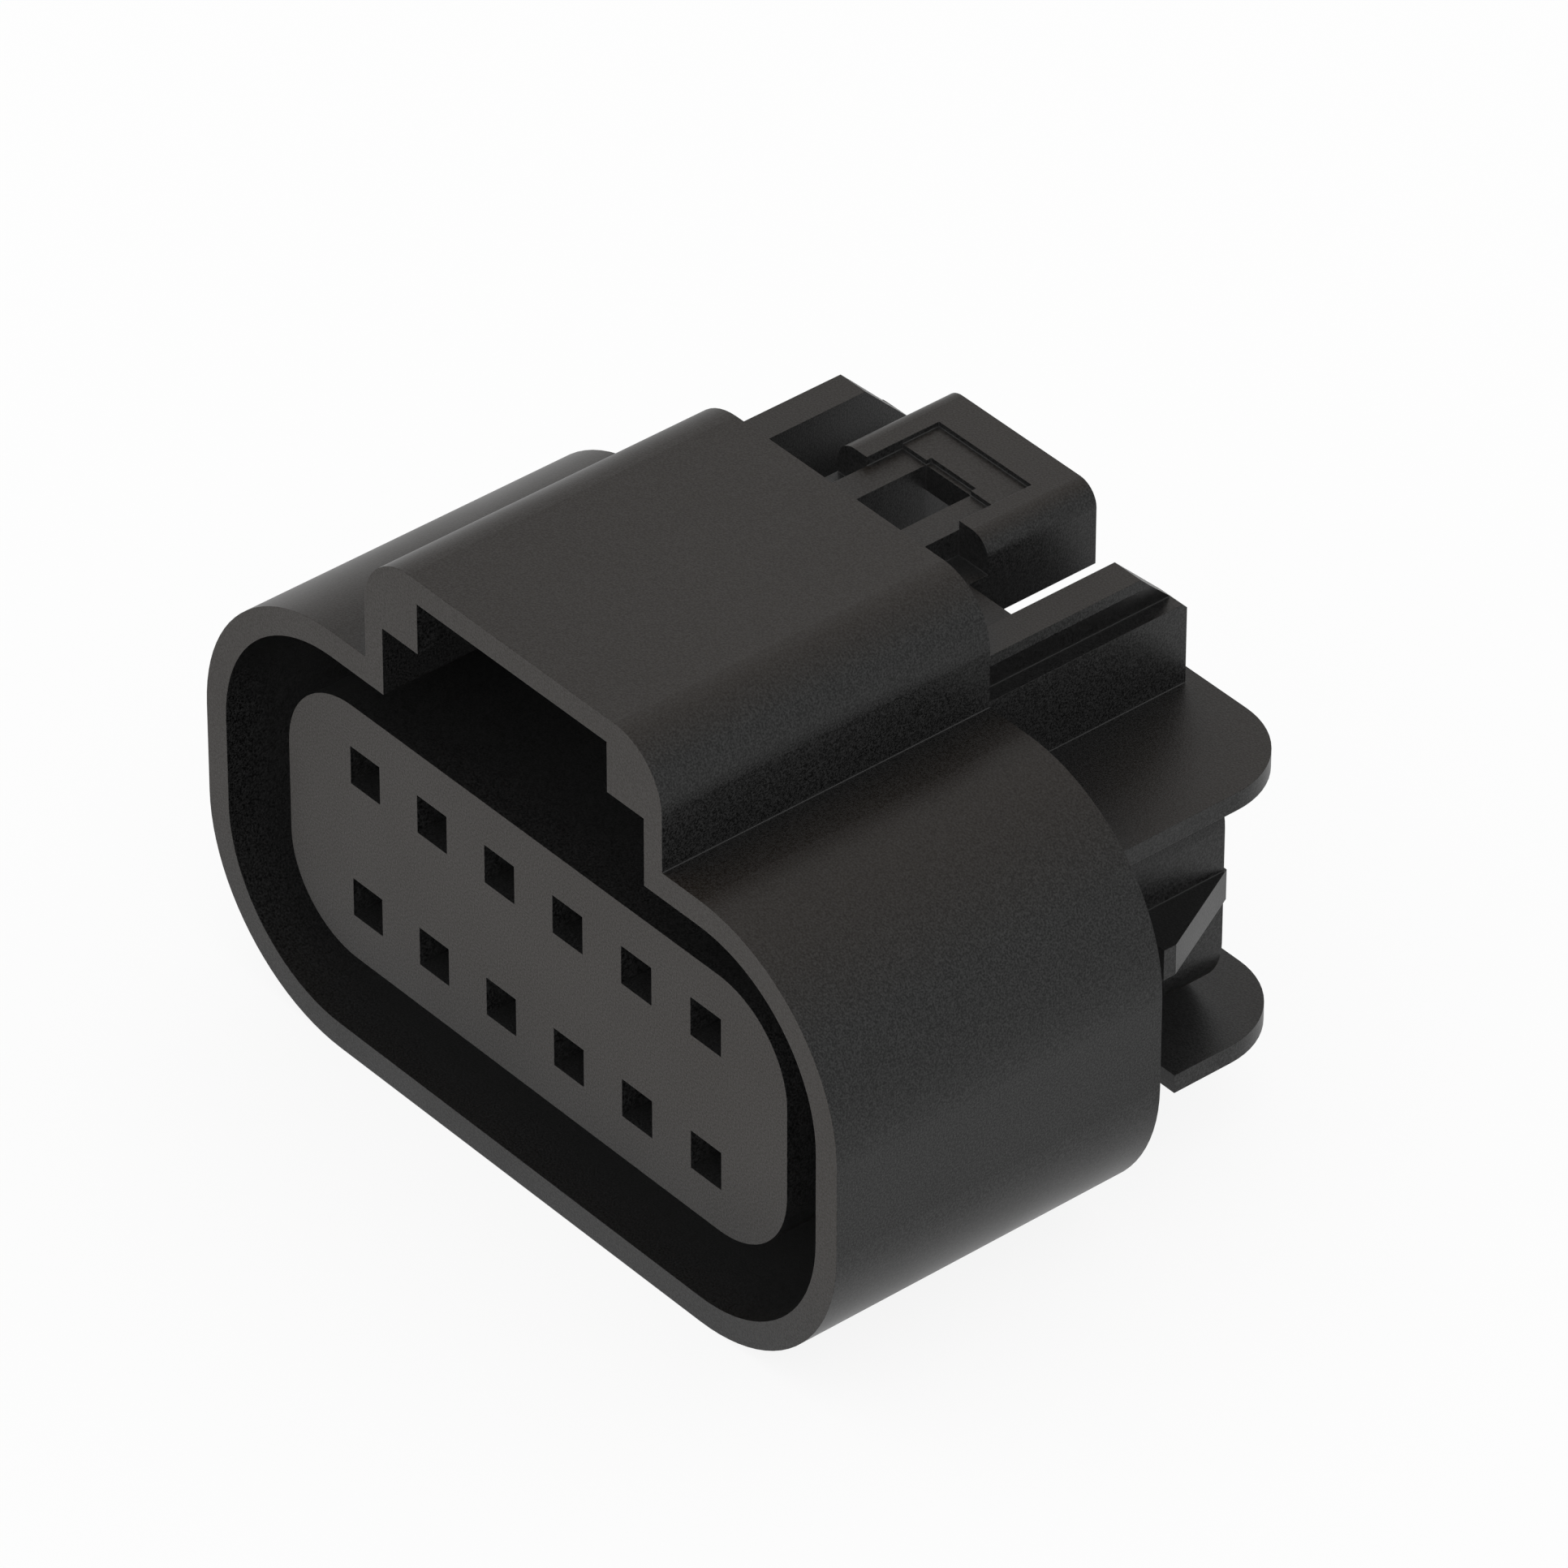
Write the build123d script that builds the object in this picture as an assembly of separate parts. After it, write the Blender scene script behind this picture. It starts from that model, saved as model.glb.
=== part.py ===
from build123d import *
import os

os.makedirs("parts", exist_ok=True)

# Multi-pin connector, socket side, in millimetres. The origin is the centre of the mating face.
# X runs along the rows, Y runs back from the mating face to the wires, Z points up to the latch.

# Terminal grid: two rows of square cavities
columns = 6
pitch = 4.0
row_spacing = 6.25
cavity = 2.8
block_end_wall = 1.4
block_skin = 0.45
block_radius = 1.6
block_start = 2.1

# Nose cap, which is the front terminal lock
mouth = 1.76
cap_side_wall = 1.74
cap_skin = 0.905
cap_radius = 3.9
cap_plate = 2.0
cap_depth = 6.5
cap_slip = 0.1
tongue_reach = 4.4

# Locking fingers, moulded with the block
finger_thickness = 0.75
finger_width = 1.9
finger_tip = 5.0
finger_root = 9.0
finger_nib = 0.6
finger_slope = 1.8
tongue_slip = 0.12
slot_end_wall = 0.7

# Shroud
mating_gap = 2.71
shroud_wall = 1.18
shroud_lead = 0.91
shroud_rear = 14.8
back_wall = 1.6

# Hood over the latch
hood_width = 17.28
hood_wall = 1.03
hood_rise = 5.26
hood_radius = 2.68
hood_roof = 1.09
hood_slot_width = 11.02
hood_shoulder = 3.37

# Latch lever
lever_width = 8.66
lever_beam = 1.67
lever_height = 1.96
lever_front = 3.6
lever_rear = 23.77
frame_rise = 1.15
window_width = 2.56
window_rear = 20.17
latch_bar_front = 5.4
latch_bar_rear = 8.6
latch_bar_drop = 0.9
lever_room = 0.9
arm_rear = 17.47
arm_width = 1.7
arm_thickness = 1.1

# Thumb pad at the rear end of the lever
pad_length = 5.35
pad_rise = 0.41
pad_radius = 0.95
pad_hollow = 3.6
recess_length = 3.565
recess_step = 1.77
recess_depth = 0.205
notch_depth = 0.245

# Guard posts beside the pad
post_wall = 1.48
post_length = 9.75
post_height = 3.7
post_foot_wall = 2.69
post_foot_height = 2.4
stop_inner = 2.75
stop_width = 1.35
stop_height = 2.34
stop_rear_gap = 0.75
rail_height = 2.13
rail_rebate = 0.73
rail_lip = 0.49
post_chamfer = 2.35

# Rear barrel, flanges and snap ramps
barrel_step = 0.585
barrel_radius = 2.85
barrel_length = 8.16
barrel_wall = 0.95
flange_thickness = 0.84
flange_overhang = 2.24
flange_rear_overhang = 2.27
flange_radius = 3.72
flange_gap = 11.2
lower_flange_length = 6.55
ramp_length = 4.96
ramp_flat = 0.6
ramp_overrun = 0.14
ramp_height = 1.4

# Ring seal round the block
seal_fit = 0.05
seal_start_gap = 0.4
ring_seal_length = 4.3
ring_seal_bite = 0.35
ring_rib_count = 3
ring_rib_width = 0.7
shoulder_gap = 0.15

# Mat seal and its cover in the rear barrel
mat_seal_length = 3.5
mat_hole = 1.7
mat_groove_depth = 0.3
mat_groove_width = 0.6
cover_thickness = 1.85
cover_slip = 0.08
snap_rib = 0.25
snap_rib_width = 0.6
snap_clearance = 0.06

# Socket contacts
contact_slip = 0.15
contact_sheet = 0.3
contact_box_length = 8.0
contact_neck_width = 1.2
contact_floor = 0.45
wire_barrel_diameter = 1.9
wire_barrel_length = 2.4
sleeve_length = 2.4
neck_length = 1.2
barrel_gap_length = 0.6
seam = 0.15
spring_width = 1.2
spring_sheet = 0.2
spring_bow = 0.6
nib_clearance = 0.1

# Sizes that follow from the ones above
column_places = [(i - (columns - 1) / 2) * pitch for i in range(columns)]
row_places = [row_spacing / 2, -row_spacing / 2]
block_width = (columns - 1) * pitch + cavity + 2 * block_end_wall
block_height = row_spacing + cavity + 2 * block_skin
nose_width = block_width + 2 * (cap_slip + cap_side_wall)
nose_height = block_height + 2 * (cap_slip + cap_skin)
shroud_inner_width = nose_width + 2 * mating_gap
shroud_inner_height = nose_height + 2 * mating_gap
shroud_inner_radius = cap_radius + mating_gap
shroud_top = shroud_inner_height / 2 + shroud_wall
wall_front = shroud_rear - back_wall
barrel_height = block_height + 2 * barrel_step
barrel_top = barrel_height / 2
barrel_rear = shroud_rear + barrel_length
flange_rear = barrel_rear + flange_rear_overhang
flange_half = block_width / 2 + flange_overhang
flange_top = barrel_top + flange_thickness
hood_top = shroud_top + hood_rise
hood_inner = hood_width / 2 - hood_wall
shoulder_level = hood_top - hood_shoulder
lever_bottom = shroud_top
lever_top = lever_bottom + lever_height
frame_top = lever_top + frame_rise
pad_top = frame_top + pad_rise
pad_front = lever_rear - pad_length
post_inner = hood_width / 2 - post_wall
pocket_width = block_width - 2 * barrel_wall
pocket_height = barrel_height - 2 * barrel_wall
pocket_radius = barrel_radius - barrel_wall
cover_front = barrel_rear - cover_thickness
pocket_front = cover_front - mat_seal_length
ring_seal_start = cap_depth + seal_start_gap
ring_seal_end = ring_seal_start + ring_seal_length
shoulder_start = ring_seal_end + shoulder_gap
slot_half_height = row_spacing / 2 - cavity / 2 - finger_thickness
slot_half_width = block_width / 2 - slot_end_wall
contact_size = cavity - 2 * contact_slip
contact_start = cap_plate + contact_slip


def slab(width, height, radius, start, end):
    """A rounded rectangle seen from the front, from one depth to another."""
    face = Pos(0, start, 0) * (Plane.XZ * RectangleRounded(width, height, radius))
    return extrude(face, amount=end - start, dir=(0, 1, 0))


def block(x, y, z):
    """A box between two places on each axis."""
    size = [pair[1] - pair[0] for pair in (x, y, z)]
    middle = [(pair[0] + pair[1]) / 2 for pair in (x, y, z)]
    return Pos(*middle) * Box(*size)


def front_prism(points, start, end):
    """A closed outline of (x, z) points, from one depth to another."""
    face = Pos(0, start, 0) * (Plane.XZ * make_face(Polyline(*points, close=True)))
    return extrude(face, amount=end - start, dir=(0, 1, 0))


def side_prism(points, left, right):
    """A closed outline of (y, z) points, from one side to another."""
    face = Pos(left, 0, 0) * (Plane.YZ * make_face(Polyline(*points, close=True)))
    return extrude(face, amount=right - left, dir=(1, 0, 0))


def plan_prism(points, bottom, top):
    """A closed outline of (x, y) points, from one height to another."""
    face = Pos(0, 0, bottom) * make_face(Polyline(*points, close=True))
    return extrude(face, amount=top - bottom, dir=(0, 0, 1))


def both_sides(shape):
    """A shape and its mirror image across the middle of the connector."""
    return shape + mirror(shape, about=Plane.YZ)


def shroud_and_hood():
    """The open-fronted shroud with the hood on its top and the wall that closes its rear."""
    outer_radius = shroud_inner_radius + shroud_wall
    outer_width = shroud_inner_width + 2 * shroud_wall
    shroud = slab(outer_width, 2 * shroud_top, outer_radius, -shroud_lead, shroud_rear)
    hood_face = Pos(0, hood_top / 2) * Rectangle(hood_width, hood_top)
    hood_face = fillet(hood_face.vertices().group_by(Axis.Y)[-1], hood_radius)
    hood = extrude(Pos(0, -shroud_lead, 0) * (Plane.XZ * hood_face),
                   amount=shroud_rear + shroud_lead, dir=(0, 1, 0))
    shape = shroud + hood
    shape -= slab(shroud_inner_width, shroud_inner_height, shroud_inner_radius, -shroud_lead, wall_front)
    # The way in under the hood is wide below and narrower above its two shoulders
    roof = hood_top - hood_roof
    slot = hood_slot_width / 2
    shape -= block((-hood_inner, hood_inner), (-shroud_lead, wall_front), (0, shoulder_level))
    shape -= block((-hood_inner, hood_inner), (wall_front, shroud_rear),
                   (lever_bottom - lever_room, shoulder_level))
    shape -= block((-slot, slot), (-shroud_lead, shroud_rear), (shoulder_level, roof))
    return shape


def lever():
    """The latch lever: two beams, a raised frame with a window, a latch bar and the thumb pad."""
    side = lever_width / 2
    inner = side - lever_beam
    window = window_width / 2
    hollow = pad_hollow / 2
    beam = block((window, side), (lever_front, window_rear), (lever_bottom, lever_top))
    beam += block((window, inner), (lever_front, window_rear), (lever_top, frame_top))
    beam += block((hollow, side), (window_rear, lever_rear), (lever_bottom, lever_top))
    # A flat arm to the guard post twists when the pad is pressed
    beam += block((side, post_inner), (arm_rear - arm_width, arm_rear),
                  (lever_top - arm_thickness, lever_top))
    shape = both_sides(beam)
    # The latch bar catches the ramp of the mating half
    shape += block((-inner, inner), (latch_bar_front, latch_bar_rear),
                   (lever_bottom - latch_bar_drop, frame_top))
    return shape + pad()


def pad():
    """The thumb pad, with rounded side edges and a shallow stepped recess in its top."""
    side = lever_width / 2
    inner = side - lever_beam
    window = window_width / 2
    outline = Pos(0, (lever_top + pad_top) / 2) * Rectangle(lever_width, pad_top - lever_top)
    outline = fillet(outline.vertices().group_by(Axis.Y)[-1], pad_radius)
    shape = extrude(Pos(0, pad_front, 0) * (Plane.XZ * outline), amount=pad_length, dir=(0, 1, 0))
    step = pad_front + recess_step
    shape -= block((-inner, inner), (pad_front, pad_front + recess_length),
                   (pad_top - recess_depth, pad_top))
    shape -= block((-inner, inner), (pad_front, step), (frame_top, pad_top))
    shape -= block((-window, window), (pad_front, step + notch_depth), (frame_top, pad_top))
    # The window of the frame carries on into the pad
    return shape - block((-window, window), (pad_front, window_rear), (lever_top, pad_top))


def guard_post():
    """The right guard post: a lower wall with a thicker foot, and a leaning rail on top."""
    outer = hood_width / 2
    inner = post_inner
    end = shroud_rear + post_length
    ledge = flange_top + post_height
    rail_top = ledge + rail_height
    post = block((inner, outer), (shroud_rear, end), (barrel_top, ledge))
    post += block((outer - post_foot_wall, inner), (shroud_rear, end),
                  (barrel_top, flange_top + post_foot_height))
    post += front_prism([(inner, ledge), (outer - rail_rebate, ledge), (outer, rail_top - rail_lip),
                         (outer, rail_top), (inner, rail_top)], shroud_rear, end)
    return post - side_prism([(end - post_chamfer, rail_top), (end, rail_top),
                              (end, rail_top - post_chamfer)], 0, outer)


def lever_stop():
    """The right stop on the barrel, which the lever comes down on when it is pressed hard."""
    end = shroud_rear + post_length - stop_rear_gap
    return block((stop_inner, stop_inner + stop_width), (shroud_rear, end),
                 (barrel_top, barrel_top + stop_height))


def flange(inner, start, bottom):
    """The right half of a flange, with its rear corner rounded."""
    plate = block((inner, flange_half), (start, flange_rear), (bottom, bottom + flange_thickness))
    corner = plate.edges().filter_by(Axis.Z).sort_by(lambda e: e.center().X + e.center().Y)[-1]
    return fillet(corner, flange_radius)


def barrel():
    """The rear barrel with both flanges and both snap ramps."""
    side = block_width / 2
    tip = side + flange_overhang
    shape = slab(block_width, barrel_height, barrel_radius, wall_front, barrel_rear)
    shape += both_sides(flange(flange_gap / 2, shroud_rear, barrel_top))
    shape += both_sides(flange(0, flange_rear - lower_flange_length, -flange_top))
    front = barrel_rear - ramp_length
    end = barrel_rear + ramp_overrun
    ramp = plan_prism([(side - barrel_wall / 2, front), (tip, front), (tip, front + ramp_flat),
                       (side, end), (side - barrel_wall / 2, end)],
                      -ramp_height / 2, ramp_height / 2)
    return shape + both_sides(ramp)


def finger(up):
    """One locking finger: it points forward, and its nib stands up into the cavity."""
    base = row_spacing / 2 - cavity / 2
    tip = side_prism([(finger_tip, up * base), (finger_tip, up * (base + finger_nib)),
                      (finger_tip + finger_nib / 2, up * (base + finger_nib)),
                      (finger_tip + finger_slope, up * base)], -finger_width / 2, finger_width / 2)
    levels = sorted([up * (base - finger_thickness), up * base])
    beam = block((-finger_width / 2, finger_width / 2), (finger_tip, finger_root), levels)
    return beam + tip


def terminal_block():
    """The block that fills the middle of the shroud, from the nose cap back to the barrel."""
    shape = slab(block_width, block_height, block_radius, block_start, shroud_rear)
    shape += slab(nose_width - 2 * ring_seal_bite, nose_height - 2 * ring_seal_bite,
                  cap_radius - ring_seal_bite, shoulder_start, wall_front + back_wall / 2)
    return shape


def cavities():
    """Everything cut out for the contacts, the fingers, the tongue, the mat seal and its cover."""
    cut = block((-slot_half_width, slot_half_width), (block_start, finger_root),
                (-slot_half_height, slot_half_height))
    base = row_spacing / 2 - cavity / 2
    for x in column_places:
        for z in row_places:
            cut += block((x - cavity / 2, x + cavity / 2), (block_start, pocket_front),
                         (z - cavity / 2, z + cavity / 2))
        cut += block((x - cavity / 2, x + cavity / 2), (block_start, finger_root), (-base, base))
    cut += slab(pocket_width, pocket_height, pocket_radius, pocket_front, barrel_rear)
    grown = 2 * (snap_rib + snap_clearance)
    groove_start = cover_front + (cover_thickness - snap_rib_width) / 2 - snap_clearance
    cut += slab(pocket_width + grown, pocket_height + grown, pocket_radius + grown / 2,
                groove_start, groove_start + snap_rib_width + 2 * snap_clearance)
    return cut


def connector_housing():
    shape = shroud_and_hood() + barrel() + terminal_block() - cavities()
    for x in column_places:
        shape += Pos(x, 0, 0) * finger(1)
        shape += Pos(x, 0, 0) * finger(-1)
    shape += both_sides(guard_post())
    shape += both_sides(lever_stop())
    return shape + lever()


def front_terminal_lock():
    """The nose cap, with a mouth for each contact and a tongue between the rows of fingers."""
    shape = slab(nose_width, nose_height, cap_radius, 0, cap_depth)
    shape -= slab(block_width + 2 * cap_slip, block_height + 2 * cap_slip,
                  block_radius + cap_slip, cap_plate, cap_depth)
    half = slot_half_width - tongue_slip
    level = slot_half_height - tongue_slip
    shape += block((-half, half), (cap_plate, cap_plate + tongue_reach), (-level, level))
    for x in column_places:
        for z in row_places:
            shape -= block((x - mouth / 2, x + mouth / 2), (0, cap_plate), (z - mouth / 2, z + mouth / 2))
    return shape


def ring_seal():
    """A ribbed rubber ring that hugs the block and stands a little proud of the nose."""
    low = -2 * ring_seal_bite
    shape = slab(nose_width + low, nose_height + low, cap_radius + low / 2, ring_seal_start, ring_seal_end)
    step = (ring_seal_length - ring_rib_width) / (ring_rib_count - 1)
    for i in range(ring_rib_count):
        start = ring_seal_start + i * step
        shape += slab(nose_width - low, nose_height - low, cap_radius - low / 2,
                      start, start + ring_rib_width)
    return shape - slab(block_width + 2 * seal_fit, block_height + 2 * seal_fit,
                        block_radius + seal_fit, ring_seal_start, ring_seal_end)


def mat_seal():
    """A rubber mat with two grooves round its edge and a hole for each wire."""
    shrink = 2 * seal_fit
    start = pocket_front + seal_fit
    end = cover_front - seal_fit
    shape = slab(pocket_width - shrink, pocket_height - shrink, pocket_radius - seal_fit, start, end)
    deep = shrink + 2 * mat_groove_depth
    land = (end - start - 2 * mat_groove_width) / 3
    for place in (start + land, end - land - mat_groove_width):
        ring = slab(pocket_width, pocket_height, pocket_radius, place, place + mat_groove_width)
        ring -= slab(pocket_width - deep, pocket_height - deep, pocket_radius - deep / 2,
                     place, place + mat_groove_width)
        shape -= ring
    for x in column_places:
        for z in row_places:
            hole = Pos(x, (start + end) / 2, z) * Rot(90, 0, 0) * Cylinder(mat_hole / 2, end - start)
            shape -= hole
    return shape


def rear_seal_cover():
    """A plate that snaps into the barrel behind the mat seal, with a way through for each contact."""
    shrink = 2 * cover_slip
    shape = slab(pocket_width - shrink, pocket_height - shrink, pocket_radius - cover_slip,
                 cover_front, barrel_rear)
    grown = 2 * snap_rib
    start = cover_front + (cover_thickness - snap_rib_width) / 2
    rib = slab(pocket_width + grown, pocket_height + grown, pocket_radius + snap_rib,
               start, start + snap_rib_width)
    reach_x = pocket_width / 2 - pocket_radius
    shape += rib & block((-reach_x, reach_x), (start, start + snap_rib_width),
                         (-barrel_height, barrel_height))
    for x in column_places:
        for z in row_places:
            shape -= block((x - cavity / 2, x + cavity / 2), (cover_front, barrel_rear),
                           (z - cavity / 2, z + cavity / 2))
    return shape


def tube(outer, start, length):
    """A rolled tube along Y with a narrow seam on its top."""
    along = Pos(0, start + length / 2, 0) * Rot(90, 0, 0)
    shape = along * Cylinder(outer / 2, length) - along * Cylinder(outer / 2 - contact_sheet, length)
    return shape - block((-seam / 2, seam / 2), (start, start + length), (0, outer))


def socket_contact():
    """One contact about its own axis, with the side that the finger holds facing down."""
    half = contact_size / 2
    wall = contact_sheet
    box_end = contact_start + contact_box_length
    shape = block((-half, half), (contact_start, box_end), (-half, half))
    shape -= block((wall - half, half - wall), (contact_start, box_end), (wall - half, half - wall))
    nib_top = contact_slip + half - finger_nib - nib_clearance
    shape -= block((-half, half), (finger_tip - nib_clearance, finger_tip + finger_slope + nib_clearance),
                   (-half, -nib_top))
    roof = half - wall
    bow = [(contact_start + wall, roof), (contact_start + 2 * wall, roof),
           ((contact_start + box_end) / 2, roof - spring_bow), (box_end - 2 * wall, roof),
           (box_end - wall, roof), ((contact_start + box_end) / 2, roof - spring_bow - spring_sheet)]
    shape += side_prism(bow, -spring_width / 2, spring_width / 2)
    wire_start = box_end + neck_length
    sleeve_start = wire_start + wire_barrel_length + barrel_gap_length
    sleeve_end = sleeve_start + sleeve_length
    shape += tube(wire_barrel_diameter, wire_start, wire_barrel_length)
    shape += tube(contact_size, sleeve_start, sleeve_length)
    shape += block((-contact_neck_width / 2, contact_neck_width / 2), (box_end - wall, sleeve_start + wall),
                   (-half, contact_floor - half))
    return shape


def main():
    export_step(connector_housing(), "parts/connector_housing.step")
    export_step(front_terminal_lock(), "parts/front_terminal_lock.step")
    export_step(ring_seal(), "parts/ring_seal.step")
    export_step(mat_seal(), "parts/mat_seal.step")
    export_step(rear_seal_cover(), "parts/rear_seal_cover.step")
    contact = socket_contact()
    number = 0
    for z in row_places:
        turn = 0 if z > 0 else 180
        for x in column_places:
            number += 1
            export_step(Pos(x, 0, z) * Rot(0, turn, 0) * contact, f"parts/socket_contact_{number:02d}.step")


main()
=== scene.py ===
# %% [markdown]
# # A sealed multi-pin connector on white
#
# This lesson dresses the model of a cable connector: a black moulded housing with a deep oval
# shroud, a hood over its latch, a thumb pad, guard posts and flat flanges. The shapes come from
# the CAD model and stay as they are. What Blender adds is the camera, the light, the finishes and
# the ribs of the two rubber seals inside. Lengths are in metres, apart from the camera's lens and
# sensor, which are in millimetres.

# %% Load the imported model
import math

import bmesh
import bpy
from mathutils import Matrix, Vector
from mathutils.geometry import delaunay_2d_cdt


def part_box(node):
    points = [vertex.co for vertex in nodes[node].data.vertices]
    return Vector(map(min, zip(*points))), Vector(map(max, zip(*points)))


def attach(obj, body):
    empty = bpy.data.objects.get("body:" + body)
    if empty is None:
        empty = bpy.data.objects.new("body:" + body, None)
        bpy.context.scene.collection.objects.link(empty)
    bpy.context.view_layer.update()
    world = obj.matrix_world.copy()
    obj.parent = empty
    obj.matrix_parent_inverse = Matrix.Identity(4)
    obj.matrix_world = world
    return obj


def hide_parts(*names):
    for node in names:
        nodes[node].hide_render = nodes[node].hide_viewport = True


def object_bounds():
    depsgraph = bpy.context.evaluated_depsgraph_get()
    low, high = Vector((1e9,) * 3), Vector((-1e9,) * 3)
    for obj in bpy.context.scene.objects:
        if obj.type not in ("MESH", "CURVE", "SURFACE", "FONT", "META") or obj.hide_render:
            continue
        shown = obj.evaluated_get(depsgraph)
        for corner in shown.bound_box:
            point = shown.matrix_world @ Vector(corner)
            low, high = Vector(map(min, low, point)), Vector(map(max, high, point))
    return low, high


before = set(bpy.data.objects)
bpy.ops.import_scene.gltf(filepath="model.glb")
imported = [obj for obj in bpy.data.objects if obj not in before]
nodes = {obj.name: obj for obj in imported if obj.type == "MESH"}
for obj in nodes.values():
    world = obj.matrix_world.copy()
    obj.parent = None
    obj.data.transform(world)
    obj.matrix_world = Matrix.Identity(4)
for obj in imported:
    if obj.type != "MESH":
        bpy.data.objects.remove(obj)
cad_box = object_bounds()
to_mm = 1000


def in_mm(sizes):
    """Sizes in metres, given in millimetres and rounded for printing."""
    return [round(size * to_mm, 2) for size in sizes]


print("pieces loaded:", len(nodes), "size in mm:", in_mm(cad_box[1] - cad_box[0]))

# %% [markdown]
# ## Camera
#
# The connector was photographed from far away with a long lens, so its parallel edges stay nearly
# parallel. The lens is given as the number of picture points that one unit of tangent covers. The
# camera is placed first, then aimed at a point, and last turned a little about its own line of view.

# %% Camera
picture_points = 1932
lens_points = 16181.6
camera_place = Vector((0.301706, -0.241807, 0.299889))
aim_point = Vector((0.008465, 0.005027, 0.010956))
camera_roll = math.radians(0.0872)
nearest, farthest = 0.01, 20

camera_data = bpy.data.cameras.new("Camera")
camera_data.sensor_width = 36
camera_data.lens = lens_points / picture_points * camera_data.sensor_width
camera_data.clip_start = nearest
camera_data.clip_end = farthest
camera = bpy.data.objects.new("Camera", camera_data)
bpy.context.scene.collection.objects.link(camera)
aimed = (aim_point - camera_place).to_track_quat("-Z", "Y").to_matrix().to_4x4()
rolled = Matrix.Rotation(camera_roll, 4, "Z")
camera.matrix_world = Matrix.Translation(camera_place) @ aimed @ rolled
bpy.context.scene.camera = camera
print("lens in mm:", round(camera_data.lens, 1))

# %% [markdown]
# ## Studio
#
# Black plastic shows mostly what it mirrors. In the photograph that is white on all sides. Lamps would
# leave bright spots in the sheen, so the world is an even white dome at strength 1. The plain
# Standard view shows each colour as it is written.

# %% World
scene = bpy.context.scene
scene.view_settings.view_transform = "Standard"
world = bpy.data.worlds.new("White dome")
world.use_nodes = True
dome = world.node_tree.nodes["Background"]
dome.inputs["Color"].default_value = (1, 1, 1, 1)
dome.inputs["Strength"].default_value = 1.0
scene.world = world
print("dome strength:", dome.inputs["Strength"].default_value)

# %% [markdown]
# Each finish is a small tree of nodes. The helpers below add one node at a time: an input gets a
# plain value or the output of another node, which the name of the input picks.

# %% Node helpers
def connect(tree, source, socket):
    """Give an input the output of another node or a plain value."""
    if isinstance(source, bpy.types.NodeSocket):
        tree.links.new(source, socket)
    else:
        socket.default_value = source


def add_node(tree, kind, place, **sources):
    """A node of one kind, at a place in the editor, with its inputs set by name."""
    node = tree.nodes.new(kind)
    node.location = place
    for name, source in sources.items():
        connect(tree, source, node.inputs[name.replace("_", " ")])
    return node


def add_math(tree, operation, place, *terms, vector=False):
    """The result of a Math node, or of a Vector Math node."""
    node = tree.nodes.new("ShaderNodeVectorMath" if vector else "ShaderNodeMath")
    node.operation = operation
    node.location = place
    for term, socket in zip(terms, node.inputs):
        connect(tree, term, socket)
    return node.outputs[0]


def new_material(name):
    """An empty node material, its tree and its output node."""
    material = bpy.data.materials.new(name)
    material.use_nodes = True
    material.node_tree.nodes.clear()
    output = material.node_tree.nodes.new("ShaderNodeOutputMaterial")
    output.location = (900, 0)
    return material, material.node_tree, output

# %% [markdown]
# The connector stands on a pale table that melts into the white background. A plain white floor would
# show grey wherever the connector takes light away. So the floor glows white to the camera and in
# gloss, with only a trace of that shadow. The Light Path node tells which kind of ray asks.

# %% Floor
floor_level = cad_box[0].z
floor_size = 3.0
floor_grey = 0.9
shadow_share = 0.12

floor_finish, tree, output = new_material("Pale floor")
ray = tree.nodes.new("ShaderNodeLightPath")
ray.location = (-400, 200)
in_view = add_math(tree, "MULTIPLY", (-200, 200), ray.outputs["Is Camera Ray"], 1 - shadow_share)
white_share = add_math(tree, "MAXIMUM", (0, 200), in_view, ray.outputs["Is Glossy Ray"])
pale = add_node(tree, "ShaderNodeBsdfDiffuse", (0, 0), Color=(floor_grey, floor_grey, floor_grey, 1))
white = add_node(tree, "ShaderNodeEmission", (0, -150), Color=(1, 1, 1, 1), Strength=1.0)
blend = tree.nodes.new("ShaderNodeMixShader")
blend.location = (300, 0)
for source, socket in zip((white_share, pale.outputs[0], white.outputs[0]), blend.inputs):
    tree.links.new(source, socket)
tree.links.new(blend.outputs[0], output.inputs["Surface"])

half = floor_size / 2
corners = [(-half, -half), (half, -half), (half, half), (-half, half)]
floor_mesh = bpy.data.meshes.new("Floor")
floor_mesh.from_pydata([(x, y, floor_level) for x, y in corners], [], [(0, 1, 2, 3)])
floor_mesh.materials.append(floor_finish)
floor = bpy.data.objects.new("Floor", floor_mesh)
scene.collection.objects.link(floor)
print("floor level in mm:", in_mm([floor_level]))

# %% [markdown]
# ## Finishes
#
# A moulded part never has knife edges, and its skin isn't mirror smooth or of one tone. Each of these
# traits could be set up anew in every material. Here four node groups carry them, together with
# painted light and painted shade, into all plastic and rubber finishes, so that a finish only sets
# their values. A group is a tree with named sockets.

# %% Group helper
def new_group(name, inputs, outputs):
    """A shader node group with named sockets, and its input and output nodes."""
    group = bpy.data.node_groups.new(name, "ShaderNodeTree")
    for label, value in inputs:
        kind = "NodeSocketFloat" if isinstance(value, float) else "NodeSocketColor"
        socket = group.interface.new_socket(label, in_out="INPUT", socket_type=kind)
        socket.default_value = value
    for label, kind in outputs:
        group.interface.new_socket(label, in_out="OUTPUT", socket_type=kind)
    entry = group.nodes.new("NodeGroupInput")
    entry.location = (-1100, 0)
    leave = group.nodes.new("NodeGroupOutput")
    leave.location = (900, 0)
    print(name, "sockets:", [item.name for item in group.interface.items_tree])
    return group, entry.outputs, leave.inputs

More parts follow.
